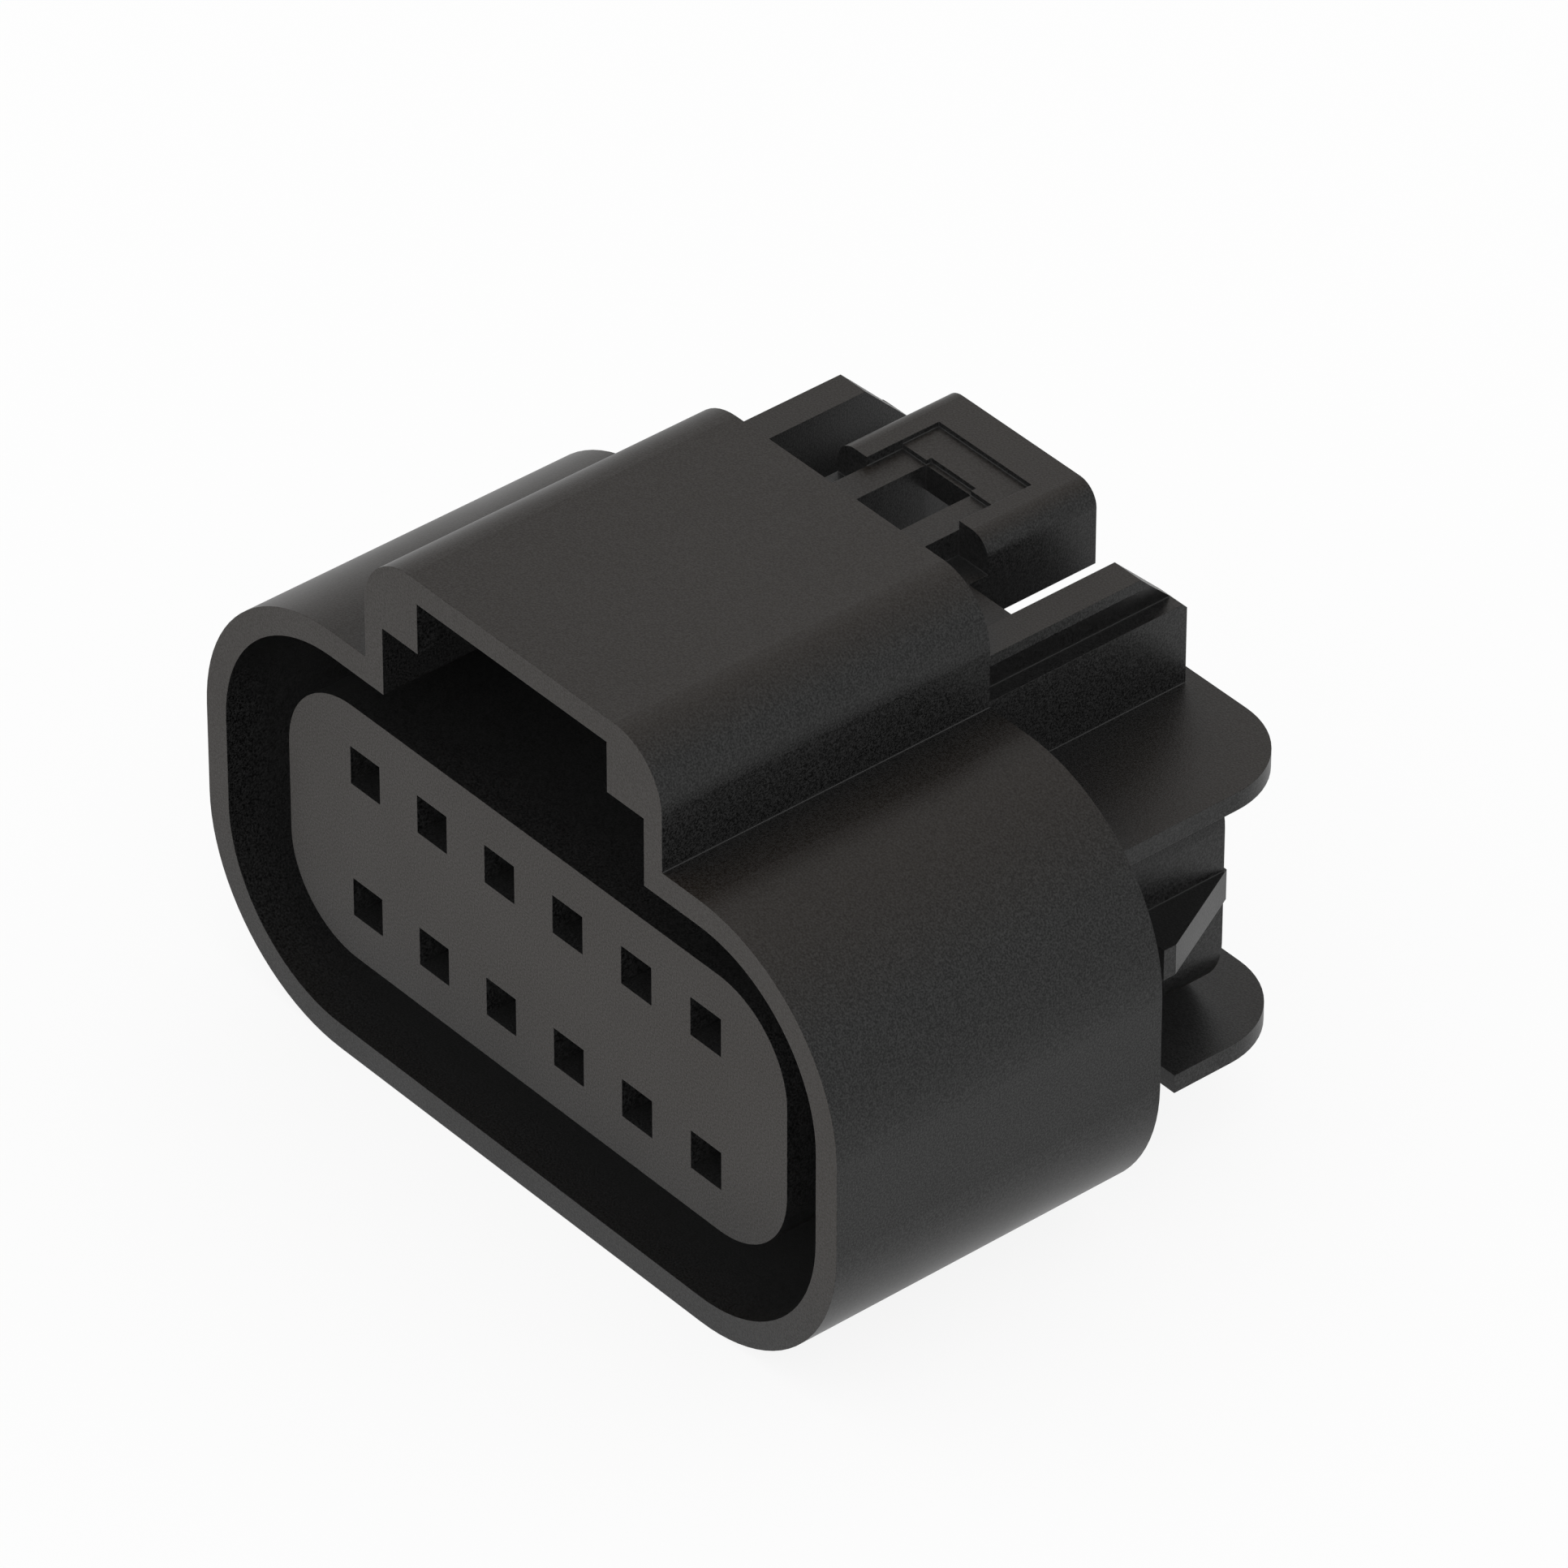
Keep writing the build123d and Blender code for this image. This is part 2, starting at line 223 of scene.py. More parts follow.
# %% [markdown]
# The first group gives the fine grain that the tool's eroded steel leaves on the plastic. It could be
# a picture wrapped round the part. Noise that is read from the place in space needs no unwrapping and
# stays sharp at any distance. The fine noise moves the colour and the height a little, and a broader
# one moves the roughness.

# %% Grain group
noise_low, noise_high = 0.3, 0.7
patches_per_metre = 160.0
patch_swing = 0.03
least_color = (0.001, 0.001, 0.001)

grain_group, entry, leave = new_group(
    "Moulded grain",
    [("Color", (0.02, 0.02, 0.02, 1)), ("Variation", 0.005), ("Share", 1.0),
     ("Grain per metre", 5000.0), ("Roughness", 0.45)],
    [("Color", "NodeSocketColor"), ("Roughness", "NodeSocketFloat"), ("Height", "NodeSocketFloat")])
place = grain_group.nodes.new("ShaderNodeTexCoord").outputs["Object"]
fine = add_node(grain_group, "ShaderNodeTexNoise", (-600, -100), Vector=place,
                Scale=entry["Grain per metre"], Detail=1.5, Roughness=0.5).outputs["Fac"]
broad = add_node(grain_group, "ShaderNodeTexNoise", (-600, -400), Vector=place,
                 Scale=patches_per_metre, Detail=3.0).outputs["Fac"]
most = add_math(grain_group, "MULTIPLY", (-600, 150), entry["Variation"], entry["Share"])
least = add_math(grain_group, "MULTIPLY", (-400, 150), most, -1.0)
speck = add_node(grain_group, "ShaderNodeMapRange", (-150, -100), Value=fine, From_Min=noise_low,
                 From_Max=noise_high, To_Min=least, To_Max=most).outputs[0]
specked = add_math(grain_group, "ADD", (150, 100), entry["Color"], speck, vector=True)
bounded = add_math(grain_group, "MAXIMUM", (400, 100), specked, least_color, vector=True)
patch = add_node(grain_group, "ShaderNodeMapRange", (-150, -400), Value=broad, From_Min=noise_low,
                 From_Max=noise_high, To_Min=-patch_swing, To_Max=patch_swing).outputs[0]
rough = add_math(grain_group, "ADD", (150, -200), entry["Roughness"], patch)
grain_group.links.new(bounded, leave["Color"])
grain_group.links.new(rough, leave["Roughness"])
grain_group.links.new(fine, leave["Height"])

# %% [markdown]
# The other groups blend colours, and one of them blends directions. The Mix node keeps a pair of
# sockets for each kind of data, all under the same names, so the pairs are picked by number.

# %% Mix helper
def add_mix(tree, place, factor, first, second, kind="RGBA"):
    """The first color or vector where the factor is 0, the second where it is 1."""
    node = add_node(tree, "ShaderNodeMix", place, Factor=factor)
    node.data_type = kind
    start, result = {"VECTOR": (4, 1), "RGBA": (6, 2)}[kind]
    connect(tree, first, node.inputs[start])
    connect(tree, second, node.inputs[start + 1])
    return node.outputs[result]

# %% [markdown]
# Edges come next. On the real part each one has a tiny radius that catches light. A bevelled mesh
# would need many faces, while a Bevel node only turns the shading of a sharp corner as if it had one.
# Edges whose rounding would lean backwards lie where the mould parts and stay crisp, so the plain
# normal is kept there. In an inner corner a thin pale line is painted as a highlight, which an
# Ambient Occlusion node with a very short reach finds.

# %% Edge group
edge_samples = 8
crisp_lean, soft_lean = 0.12, 0.02
open_side, tight_corner = 0.9, 0.6

edge_group, entry, leave = new_group(
    "Soft edge and painted highlight",
    [("Color", (0.02, 0.02, 0.02, 1)), ("Line color", (0.1, 0.1, 0.1, 1)), ("Radius", 0.00003),
     ("Line width", 0.00007)],
    [("Color", "NodeSocketColor"), ("Normal", "NodeSocketVector")])
bevel = add_node(edge_group, "ShaderNodeBevel", (-700, -300), Radius=entry["Radius"])
bevel.samples = edge_samples
soft_normal = bevel.outputs["Normal"]
plain_normal = edge_group.nodes.new("ShaderNodeNewGeometry").outputs["Normal"]
lean = add_math(edge_group, "SUBTRACT", (-500, -400), soft_normal, plain_normal, vector=True)
lean_parts = add_node(edge_group, "ShaderNodeSeparateXYZ", (-300, -400), Vector=lean)
softness = add_node(edge_group, "ShaderNodeMapRange", (-100, -400), Value=lean_parts.outputs["Y"],
                    From_Min=crisp_lean, From_Max=soft_lean).outputs[0]
turned = add_mix(edge_group, (150, -300), softness, plain_normal, soft_normal, kind="VECTOR")
# Painted highlight: inner corners take the pale Line color.
corner = add_node(edge_group, "ShaderNodeAmbientOcclusion", (-400, 0), Distance=entry["Line width"])
corner.samples = edge_samples
line = add_node(edge_group, "ShaderNodeMapRange", (-150, 0), Value=corner.outputs["AO"],
                From_Min=open_side, From_Max=tight_corner).outputs[0]
highlight_painted = add_mix(edge_group, (300, 100), line, entry["Color"], entry["Line color"])
edge_group.links.new(highlight_painted, leave["Color"])
edge_group.links.new(turned, leave["Normal"])

# %% [markdown]
# In a recess the painted warm light of the open faces gives way to a painted shade colour, as the
# plastic there no longer faces the open room. Deep down a paler colour is painted in, so that the
# deepest recesses don't render fully black: painted light. Such places could be painted by hand. A
# second Ambient Occlusion node with a long reach finds them by itself, also when the shape changes.

# %% Recess group
recess_samples = 8
shade_start, shade_end = 0.1, 0.5

recess_group, entry, leave = new_group(
    "Painted recess shade and lift",
    [("Color", (0.02, 0.02, 0.02, 1)), ("Shade color", (0.007, 0.007, 0.007, 1)),
     ("Dull color", (0.04, 0.04, 0.04, 1)), ("Reach", 0.012), ("Falloff", 5.0)],
    [("Color", "NodeSocketColor")])
around = add_node(recess_group, "ShaderNodeAmbientOcclusion", (-700, -200), Distance=entry["Reach"])
around.samples = recess_samples
depth = add_math(recess_group, "SUBTRACT", (-500, -200), 1.0, around.outputs["AO"])
# Painted shade: the colour turns to the shade colour as the recess deepens.
shade_share = add_node(recess_group, "ShaderNodeMapRange", (-300, 0), Value=depth,
                       From_Min=shade_start, From_Max=shade_end).outputs[0]
shaded = add_mix(recess_group, (-50, 100), shade_share, entry["Color"], entry["Shade color"])
# Painted light: the Dull color input is a paler colour painted into the deepest recesses.
painted_lift_share = add_math(recess_group, "POWER", (-50, -200), depth, entry["Falloff"])
lift_painted = add_mix(recess_group, (300, 100), painted_lift_share, shaded, entry["Dull color"])
recess_group.links.new(lift_painted, leave["Color"])

# %% [markdown]
# Faces that point to the front are painted paler and warmer than the sides, and tops a little
# warmer: painted light, as if lit from the front and above. The grain is stronger on the sides than
# on the tops. Each face could have its own material. The group picks painted light and grain from
# the direction in which a face of the object points, so that one finish does for all.

# %% Painted face light group
turn_start, turn_end = 0.6, 0.98
side_grain, top_grain = 1.3, 0.75

face_light_group, entry, leave = new_group(
    "Painted face light",
    [("Side color", (0.012, 0.012, 0.012, 1)), ("Top color", (0.013, 0.01, 0.008, 1)),
     ("Front color", (0.023, 0.019, 0.016, 1))],
    [("Color", "NodeSocketColor"), ("Grain share", "NodeSocketFloat")])
facing = face_light_group.nodes.new("ShaderNodeTexCoord").outputs["Normal"]
parts = add_node(face_light_group, "ShaderNodeSeparateXYZ", (-500, -200), Vector=facing).outputs
upward = add_node(face_light_group, "ShaderNodeMapRange", (-250, -100), Value=parts["Z"],
                  From_Min=turn_start, From_Max=turn_end).outputs[0]
forward = add_node(face_light_group, "ShaderNodeMapRange", (-250, -400), Value=parts["Y"],
                   From_Min=-turn_start, From_Max=-turn_end).outputs[0]
# Painted light: tops warmer, and front faces paler and warmer, than the sides.
side_or_top = add_mix(face_light_group, (100, 100), upward, entry["Side color"], entry["Top color"])
any_face = add_mix(face_light_group, (400, 100), forward, side_or_top, entry["Front color"])
grain_share = add_node(face_light_group, "ShaderNodeMapRange", (100, -300), Value=upward, To_Min=side_grain,
                       To_Max=top_grain).outputs[0]
face_light_group.links.new(any_face, leave["Color"])
face_light_group.links.new(grain_share, leave["Grain share"])

# %% [markdown]
# ## Plastic and rubber
#
# A finish is one Principled shader behind the four groups. The direction of a face gives painted
# light, the recess paints shade and a paler lift over it, the grain covers both, and the edge comes
# last, so that its painted highlight line stays clean. The grain's height goes through a Bump node
# on top of the rounded edges.

# %% Moulded finish
bump_strength = 0.5


def add_group(tree, group, place, **sources):
    """A node that holds a group, with its inputs set by name."""
    node = tree.nodes.new("ShaderNodeGroup")
    node.node_tree = group
    node.location = place
    for name, source in sources.items():
        connect(tree, source, node.inputs[name.replace("_", " ")])
    return node


def grey(level):
    """A neutral color."""
    return level, level, level, 1


def moulded_finish(name, side, top, front, shade, painted_lift, line, roughness, grain, variation, depth,
                   bend):
    """A finish made of the painted face light, painted recess shade, grain and edge groups. Side, top
    and front are painted face light; the three greys paint shade in recesses, light deep down and a
    highlight in corners.
    """
    material, tree, output = new_material(name)
    face_light = add_group(tree, face_light_group, (-1200, 0), Side_color=(*side, 1), Top_color=(*top, 1),
                     Front_color=(*front, 1))
    recess = add_group(tree, recess_group, (-900, 0), Color=face_light.outputs["Color"],
                       Shade_color=grey(shade), Dull_color=grey(painted_lift))
    skin = add_group(tree, grain_group, (-600, 0), Color=recess.outputs["Color"],
                     Variation=variation, Share=face_light.outputs["Grain share"], Grain_per_metre=grain,
                     Roughness=roughness)
    edge = add_group(tree, edge_group, (-300, 0), Color=skin.outputs["Color"], Line_color=grey(line))
    bump = add_node(tree, "ShaderNodeBump", (0, -300), Strength=bump_strength, Distance=depth,
                    Height=skin.outputs["Height"], Normal=edge.outputs["Normal"])
    surface = add_node(tree, "ShaderNodeBsdfPrincipled", (400, 0), IOR=bend,
                       Base_Color=edge.outputs["Color"], Roughness=skin.outputs["Roughness"],
                       Normal=bump.outputs["Normal"])
    tree.links.new(surface.outputs[0], output.inputs["Surface"])
    print("finish:", name)
    return material

# %% [markdown]
# The housing is glass-filled nylon, dark grey rather than black, with a dull sheen. Its gloss is
# weak, so the shader bends light less than a polished plastic would. The nose in the shroud is the
# same plastic, but its painted corner highlights are fainter, its small mouths get less painted
# light and its grain is a little stronger.

# %% Housing and nose
# The top and front colours are painted light, warmer and paler than the side colour.
plastic_skin = {
    "side": (0.0115, 0.0117, 0.0115), "top": (0.0131, 0.0101, 0.0078),
    "front": (0.0229, 0.0191, 0.0158), "roughness": 0.4, "grain": 13000.0, "depth": 0.000012,
    "bend": 1.33}
# Shade, the lift and the line are greys: painted shade in recesses, painted light deep down and a
# painted highlight in corners.
housing_plastic = moulded_finish("Housing plastic", shade=0.0112, painted_lift=0.07, line=0.055,
                                 variation=0.011, **plastic_skin)
nose_plastic = moulded_finish("Nose plastic", shade=0.01, painted_lift=0.04, line=0.02,
                              variation=0.014, **plastic_skin)

# %% [markdown]
# The seals are soft rubber, matte and of one tone on all sides, with a coarser and weaker grain. They
# get the same tree with other values.

# %% Rubber
rubber_color = (0.02, 0.02, 0.021)
# Shade, the lift and the line are painted shade in recesses, painted light deep down and a painted
# corner highlight.
seal_rubber = moulded_finish("Seal rubber", side=rubber_color, top=rubber_color,
                             front=rubber_color, shade=0.016, painted_lift=0.03, line=0.03, roughness=0.6,
                             grain=3000.0, variation=0.006, depth=0.00001, bend=1.45)

# %% [markdown]
# Three pieces are moulded in hard plastic: the housing, the cover in its rear barrel and the nose. The
# finishes go onto the meshes of the CAD nodes, which keep their shape and their place.

# %% Dress the mouldings
def dress(name, material):
    """Give a CAD node one finish."""
    mesh = nodes[name].data
    mesh.materials.clear()
    mesh.materials.append(material)


mouldings = {"connector_housing": housing_plastic, "rear_seal_cover": housing_plastic,
             "front_terminal_lock": nose_plastic}
for name, material in mouldings.items():
    dress(name, material)
print("mouldings dressed:", len(mouldings))

# %% [markdown]
# ## Contacts
#
# The twelve sockets are folded from thin brass strip with a layer of tin. Rolling leaves faint
# streaks along the strip, and the tin dulls in patches. A scratch map could show both. Here they come
# from noise, once stretched along the part and once left round, which needs no picture.

# %% Tinned brass
streak_stretch = (1, 0.05, 1)
spots_per_metre = 700.0
spot_low, spot_high = 0.35, 0.65
bright_roughness, dull_roughness = 0.28, 0.5

tin_group, entry, leave = new_group(
    "Rolled tin",
    [("Bright color", (0.6, 0.58, 0.53, 1)), ("Dull color", (0.34, 0.32, 0.28, 1)),
     ("Streaks per metre", 3000.0)],
    [("Color", "NodeSocketColor"), ("Roughness", "NodeSocketFloat"), ("Height", "NodeSocketFloat")])
place = tin_group.nodes.new("ShaderNodeTexCoord").outputs["Object"]
stretched = add_node(tin_group, "ShaderNodeMapping", (-700, -200), Vector=place, Scale=streak_stretch)
streak = add_node(tin_group, "ShaderNodeTexNoise", (-450, -100), Vector=stretched.outputs[0],
                  Scale=entry["Streaks per metre"], Detail=2.0)
spot = add_node(tin_group, "ShaderNodeTexNoise", (-450, -400), Vector=place, Scale=spots_per_metre,
                Detail=3.0)
dullness = add_node(tin_group, "ShaderNodeMapRange", (-200, -400), Value=spot.outputs["Fac"],
                    From_Min=spot_low, From_Max=spot_high).outputs[0]
tin_color = add_mix(tin_group, (50, 100), dullness, entry["Bright color"], entry["Dull color"])
tin_roughness = add_node(tin_group, "ShaderNodeMapRange", (50, -300), Value=dullness,
                         To_Min=bright_roughness, To_Max=dull_roughness).outputs[0]
tin_group.links.new(tin_color, leave["Color"])
tin_group.links.new(tin_roughness, leave["Roughness"])
tin_group.links.new(streak.outputs["Fac"], leave["Height"])

# %% [markdown]
# The metal itself is a Principled shader at full Metallic, with a low bump for the streaks.

# %% Dress the contacts
tin_bump = 0.3
tin_depth = 0.00001

contact_tin, tree, output = new_material("Tinned brass")
sheet = add_group(tree, tin_group, (-300, 0))
bump = add_node(tree, "ShaderNodeBump", (0, -300), Strength=tin_bump, Distance=tin_depth,
                Height=sheet.outputs["Height"])
surface = add_node(tree, "ShaderNodeBsdfPrincipled", (400, 0), Metallic=1.0,
                   Base_Color=sheet.outputs["Color"], Roughness=sheet.outputs["Roughness"],
                   Normal=bump.outputs["Normal"])
tree.links.new(surface.outputs[0], output.inputs["Surface"])

contacts = sorted(name for name in nodes if name.startswith("socket_contact"))
for name in contacts:
    dress(name, contact_tin)
print("contacts dressed:", len(contacts))

# %% [markdown]
# ## Seals
#
# Both seals are moulded rubber with rounded ribs, which a plain solid can't show. The ribs could be
# pulled out of a mesh by hand. But a rib follows the outline of its seal and repeats at a fixed step,
# so a Geometry Nodes tree sweeps an oval along a rounded rectangle and places the copies on a line.
# Its sizes are named inputs, so that one tree serves both seals.

# %% Tree helpers
def new_tree(name, inputs):
    """An empty Geometry Nodes tree with named inputs, its inputs' sockets and its output node."""
    tree = bpy.data.node_groups.new(name, "GeometryNodeTree")
    tree.interface.new_socket("Geometry", in_out="INPUT", socket_type="NodeSocketGeometry")
    for label, kind in inputs.items():
        tree.interface.new_socket(label, in_out="INPUT", socket_type="NodeSocket" + kind)
    tree.interface.new_socket("Geometry", in_out="OUTPUT", socket_type="NodeSocketGeometry")
    return tree, tree.nodes.new("NodeGroupInput").outputs, tree.nodes.new("NodeGroupOutput").inputs


def grow_node(tree, kind, mode=None, **sources):
    """The first output of a node of one kind, with its mode and its inputs set by name."""
    node = tree.nodes.new(kind)
    if mode:
        node.mode = mode
    for name, source in sources.items():
        connect(tree, source, node.inputs[name.replace("_", " ")])
    return node.outputs[0]


def row_of_points(tree, count, start, step):
    """Points on a line along Y."""
    first = grow_node(tree, "ShaderNodeCombineXYZ", Y=start)
    stride = grow_node(tree, "ShaderNodeCombineXYZ", Y=step)
    return grow_node(tree, "GeometryNodeMeshLine", Count=count, Start_Location=first, Offset=stride)


def close_tree(tree, entry, leave, part):
    """Join the part with what comes in, make it real, smooth it and give it its material."""
    join = tree.nodes.new("GeometryNodeJoinGeometry")
    for piece in (entry["Geometry"], part):
        tree.links.new(piece, join.inputs[0])
    real = grow_node(tree, "GeometryNodeRealizeInstances", Geometry=join.outputs[0])
    smooth = grow_node(tree, "GeometryNodeSetShadeSmooth", Geometry=real)
    finished = grow_node(tree, "GeometryNodeSetMaterial", Geometry=smooth, Material=entry["Finish"])
    tree.links.new(finished, leave[0])
    print(tree.name, "nodes:", len(tree.nodes))

# %% [markdown]
# Curves are easiest to draw on the XY plane. A quarter turn about X then sets a rib upright, so that
# its outline faces along the part. The oval is a circle squeezed to the rib's rise and half width.

# %% Rib tree
corner_steps = 12
oval_points = 20
quarter_turn = (math.radians(90), 0, 0)

rib_tree, entry, leave = new_tree("Seal ribs", {
    "Width": "Float", "Height": "Float", "Corner": "Float", "Count": "Int", "Start": "Float",
    "Step": "Float", "Half width": "Float", "Rise": "Float", "Finish": "Material"})
outline = grow_node(rib_tree, "GeometryNodeCurvePrimitiveQuadrilateral", Width=entry["Width"],
                    Height=entry["Height"])
rounded = grow_node(rib_tree, "GeometryNodeFilletCurve", mode="POLY", Curve=outline,
                    Count=corner_steps, Radius=entry["Corner"])
level = grow_node(rib_tree, "GeometryNodeSetCurveNormal", mode="Z_UP", Curve=rounded)
circle = grow_node(rib_tree, "GeometryNodeCurvePrimitiveCircle", Resolution=oval_points, Radius=1.0)
squeeze = grow_node(rib_tree, "ShaderNodeCombineXYZ", X=entry["Rise"], Y=entry["Half width"], Z=1.0)
oval = grow_node(rib_tree, "GeometryNodeTransform", Geometry=circle, Scale=squeeze)
rib = grow_node(rib_tree, "GeometryNodeCurveToMesh", Curve=level, Profile_Curve=oval)
upright = grow_node(rib_tree, "GeometryNodeTransform", Geometry=rib, Rotation=quarter_turn)
line = row_of_points(rib_tree, entry["Count"], entry["Start"], entry["Step"])
ribs = grow_node(rib_tree, "GeometryNodeInstanceOnPoints", Points=line, Instance=upright)
close_tree(rib_tree, entry, leave, ribs)

# %% [markdown]
# Each hole of the mat has a soft lip on both faces, which grips its wire. Twenty-four rings could be
# added one by one. A second tree puts a small ring on every point of a grid instead, and puts that
# grid on the two faces.

# %% Lip tree
ring_points = 32
lip_points = 12

lip_tree, entry, leave = new_tree("Hole lips", {
    "Ring radius": "Float", "Lip radius": "Float", "Span": "Float", "Row gap": "Float",
    "Columns": "Int", "Front": "Float", "Depth": "Float", "Finish": "Material"})
path = grow_node(lip_tree, "GeometryNodeCurvePrimitiveCircle", Resolution=ring_points,
                 Radius=entry["Ring radius"])
thick = grow_node(lip_tree, "GeometryNodeCurvePrimitiveCircle", Resolution=lip_points,
                  Radius=entry["Lip radius"])
ring = grow_node(lip_tree, "GeometryNodeCurveToMesh", Curve=path, Profile_Curve=thick)
grid = grow_node(lip_tree, "GeometryNodeMeshGrid", Size_X=entry["Span"], Size_Y=entry["Row gap"],
                 Vertices_X=entry["Columns"], Vertices_Y=2)
rings = grow_node(lip_tree, "GeometryNodeInstanceOnPoints", Points=grid, Instance=ring)
upright = grow_node(lip_tree, "GeometryNodeTransform", Geometry=rings, Rotation=quarter_turn)
faces = row_of_points(lip_tree, 2, entry["Front"], entry["Depth"])
both = grow_node(lip_tree, "GeometryNodeInstanceOnPoints", Points=faces, Instance=upright)
close_tree(lip_tree, entry, leave, both)

# %% [markdown]
# A tree works as a modifier. Its inputs are set by the identifiers of their sockets, and then the
# result is turned into a plain mesh, so that nothing live is left on the piece.

# %% Run a tree
def grow(piece, tree, **values):
    """Run a tree on a piece and keep its result as a plain mesh."""
    modifier = piece.modifiers.new("Growth", "NODES")
    modifier.node_group = tree
    for item in tree.interface.items_tree:
        key = item.name.replace(" ", "_").lower()
        if item.in_out == "INPUT" and key in values:
            modifier[item.identifier] = values[key]
    bpy.context.view_layer.update()
    grown = piece.evaluated_get(bpy.context.evaluated_depsgraph_get())
    result = bpy.data.meshes.new_from_object(grown)
    piece.modifiers.remove(modifier)
    piece.data = result
    print(piece.name, "faces:", len(result.polygons))

# %% [markdown]
# The bodies of the seals are built point by point. Doubled points are merged and the faces turned
# outwards before the mesh becomes an object.

# %% Body helpers
doubled_distance = 0.000001


def outline_points(width, height, radius, steps=corner_steps):
    """Points of a rounded rectangle, the same number in each corner."""
    points = []
    for quarter in range(4):
        side_x = 1 if quarter in (0, 3) else -1
        side_z = 1 if quarter in (0, 1) else -1
        for i in range(steps + 1):
            angle = math.radians(90 * (quarter + i / steps))
            points.append((side_x * (width / 2 - radius) + radius * math.cos(angle),
                           side_z * (height / 2 - radius) + radius * math.sin(angle)))
    return points


def new_body(name, mesh_name, edit):
    """An object at the origin made from an edited mesh, which is cleaned and then freed."""
    bmesh.ops.remove_doubles(edit, verts=edit.verts, dist=doubled_distance)
    bmesh.ops.recalc_face_normals(edit, faces=edit.faces)
    mesh = bpy.data.meshes.new(mesh_name)
    edit.to_mesh(mesh)
    edit.free()
    piece = bpy.data.objects.new(name, mesh)
    scene.collection.objects.link(piece)
    print(name, "body faces:", len(mesh.polygons))
    return piece


def add_wall(edit, layers, closed=False):
    """Join loops of points, each given with its depth. The first and the last loop are returned."""
    loops = [[edit.verts.new((x, depth, z)) for x, z in points] for depth, points in layers]
    pairs = list(zip(loops, loops[1:]))
    if closed:
        pairs.append((loops[-1], loops[0]))
    for near, far in pairs:
        for k in range(len(near)):
            edit.faces.new((near[k - 1], near[k], far[k], far[k - 1]))
    return loops[0], loops[-1]

# %% [markdown]
# The ring seal hugs the terminal block. A thickened outline would do if its sleeve were equally thick
# all round. It has another outline inside than outside, so it is built from loops with equal numbers
# of points, joined one to the next and back to the first.

# %% Ring seal sleeve
ring_low, ring_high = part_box("ring_seal")
ring_rise = 0.0007
ring_corner = 0.00425
sleeve_width = ring_high.x - ring_low.x - 2 * ring_rise
sleeve_height = ring_high.z - ring_low.z - 2 * ring_rise
sleeve_corner = ring_corner - ring_rise
inner_width, inner_height, inner_corner = 0.0257, 0.01005, 0.00165
sleeve_edge = 0.00015

outer = outline_points(sleeve_width, sleeve_height, sleeve_corner)
eased = outline_points(sleeve_width - 2 * sleeve_edge, sleeve_height - 2 * sleeve_edge,
                       sleeve_corner - sleeve_edge)
inner = outline_points(inner_width, inner_height, inner_corner)
front, back = ring_low.y, ring_high.y
edit = bmesh.new()
add_wall(edit, [(front, eased), (front + sleeve_edge, outer), (back - sleeve_edge, outer),
                (back, eased), (back, inner), (front, inner)], closed=True)
ring_seal = new_body("ribbed_ring_seal", "Ring seal", edit)

# %% [markdown]
# Three ribs go round the sleeve. They stand out as far as the CAD solid does, and no further.

# %% Ring seal ribs
ring_ribs = 3
ring_rib_half = 0.00035

grow(ring_seal, rib_tree, width=sleeve_width, height=sleeve_height, corner=sleeve_corner,
     count=ring_ribs, start=front + ring_rib_half, step=(back - front) / 2 - ring_rib_half,
     half_width=ring_rib_half, rise=ring_rise, finish=seal_rubber)
print("ring seal size in mm:", in_mm(ring_seal.dimensions), "CAD:", in_mm(ring_high - ring_low))

# %% [markdown]
# The mat is a plate with twelve holes. They could be cut with Boolean modifiers, but then each rim
# would still need its rounding. Instead its outline and each hole get a wall of loops with rounded
# rims, and a Delaunay triangulation fills the two faces between the walls. It works in millimetres,
# where its tolerance suits a part this small. It fills the holes as well, so a triangle whose corners
# all lie on one hole is left out.

# %% Mat helpers
hole_points = 32
rim_steps = 3
fill_tolerance = 0.00001
inside_only = 2


def circle_points(middle, radius):
    """Points of one round hole."""
    turns = [math.tau * i / hole_points for i in range(hole_points)]
    return [(middle[0] + radius * math.cos(turn), middle[1] + radius * math.sin(turn))
            for turn in turns]


def rim_layers(front, back, rim):
    """The depth and the inset of each loop of a wall whose two rims are rounded."""
    turns = [math.radians(90 * i / rim_steps) for i in range(rim_steps + 1)]
    near = [(front + rim * (1 - math.cos(turn)), rim * (1 - math.sin(turn))) for turn in turns]
    return near + [(front + back - depth, inset) for depth, inset in reversed(near)]


def fill_face(edit, loops):
    """Fill the flat region inside the first loop and outside the round others with triangles."""
    verts = [vert for loop in loops for vert in loop]
    owners = [i for i, loop in enumerate(loops) for vert in loop]
    places = [Vector((vert.co.x, vert.co.z)) * to_mm for vert in verts]
    bounds, start = [], 0
    for loop in loops:
        bounds += [(start + k, start + (k + 1) % len(loop)) for k in range(len(loop))]
        start += len(loop)
    found = delaunay_2d_cdt(places, bounds, [], inside_only, fill_tolerance)
    triangles, sources = found[2], found[3]
    for corners in triangles:
        picks = [sources[i][0] for i in corners]
        touched = {owners[i] for i in picks}
        if len(touched) > 1 or 0 in touched:
            edit.faces.new([verts[i] for i in picks])

# %% [markdown]
# The holes lie on the lines of the cavities, in two rows of six at the connector's pitch. The plate is
# smaller than the CAD solid by the rise of its ribs and lips, so that these reach its faces exactly.

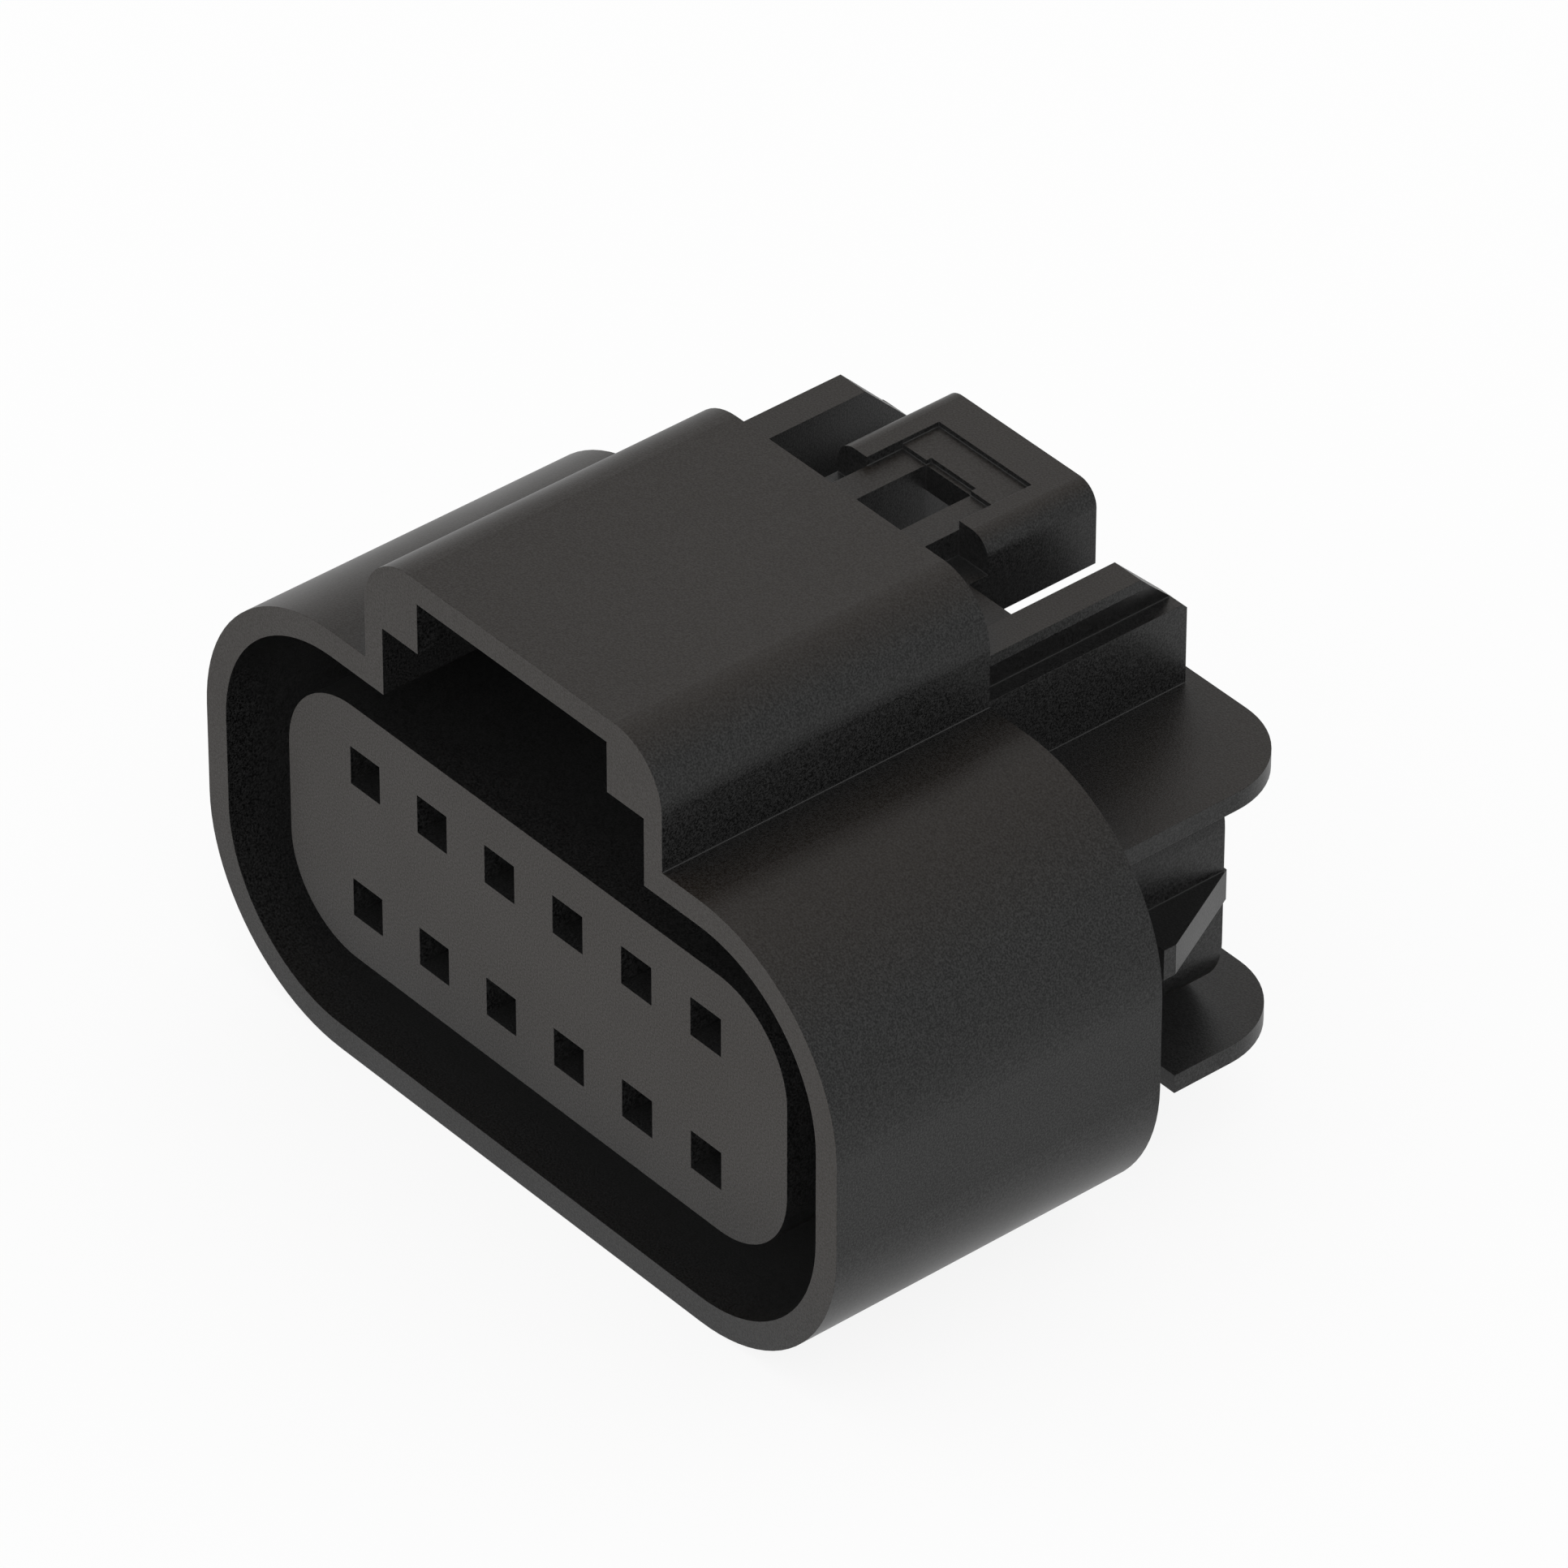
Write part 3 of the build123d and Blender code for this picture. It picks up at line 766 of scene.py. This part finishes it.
# %% Mat seal plate
mat_low, mat_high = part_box("mat_seal")
mat_rise = 0.0003
lip_rise = 0.00015
rim = 0.00005
mat_corner = 0.00155
columns, pitch, row_gap = 6, 0.004, 0.00625
hole_radius = 0.00095
mat_width = mat_high.x - mat_low.x - 2 * mat_rise
mat_height = mat_high.z - mat_low.z - 2 * mat_rise
mat_front, mat_back = mat_low.y + lip_rise, mat_high.y - lip_rise

middles = [((column - (columns - 1) / 2) * pitch, row * row_gap)
           for column in range(columns) for row in (-0.5, 0.5)]
layers = rim_layers(mat_front, mat_back, rim)
edit = bmesh.new()
walls = [add_wall(edit, [(depth, outline_points(mat_width - 2 * inset, mat_height - 2 * inset,
                                                mat_corner - inset)) for depth, inset in layers])]
for middle in middles:
    walls.append(add_wall(edit, [(depth, circle_points(middle, hole_radius + inset))
                                 for depth, inset in layers]))
for side in (0, 1):
    fill_face(edit, [wall[side] for wall in walls])
mat_seal = new_body("ribbed_mat_seal", "Mat seal", edit)

# %% [markdown]
# Three ribs go round the plate, and a lip goes round each hole on both faces. The lip reaches a
# little into its hole.

# %% Mat seal ribs and lips
mat_ribs = 3
mat_rib_half = 0.00036
lip_radius = 0.00018
lip_offset = 0.6

grow(mat_seal, rib_tree, width=mat_width, height=mat_height, corner=mat_corner, count=mat_ribs,
     start=mat_front + mat_rib_half, step=(mat_back - mat_front) / 2 - mat_rib_half,
     half_width=mat_rib_half, rise=mat_rise, finish=seal_rubber)
grow(mat_seal, lip_tree, ring_radius=hole_radius + lip_radius * lip_offset, lip_radius=lip_radius,
     span=(columns - 1) * pitch, row_gap=row_gap, columns=columns, front=mat_low.y + lip_radius,
     depth=mat_high.y - mat_low.y - 2 * lip_radius, finish=seal_rubber)
print("mat seal size in mm:", in_mm(mat_seal.dimensions), "CAD:", in_mm(mat_high - mat_low))

# %% [markdown]
# Each ribbed seal takes the place of its plain CAD solid and rides the connector's only body.

# %% Hand the seals over
for piece, node in ((ring_seal, "ring_seal"), (mat_seal, "mat_seal")):
    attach(piece, "root")
    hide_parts(node)
    print(piece.name, "replaces", node)
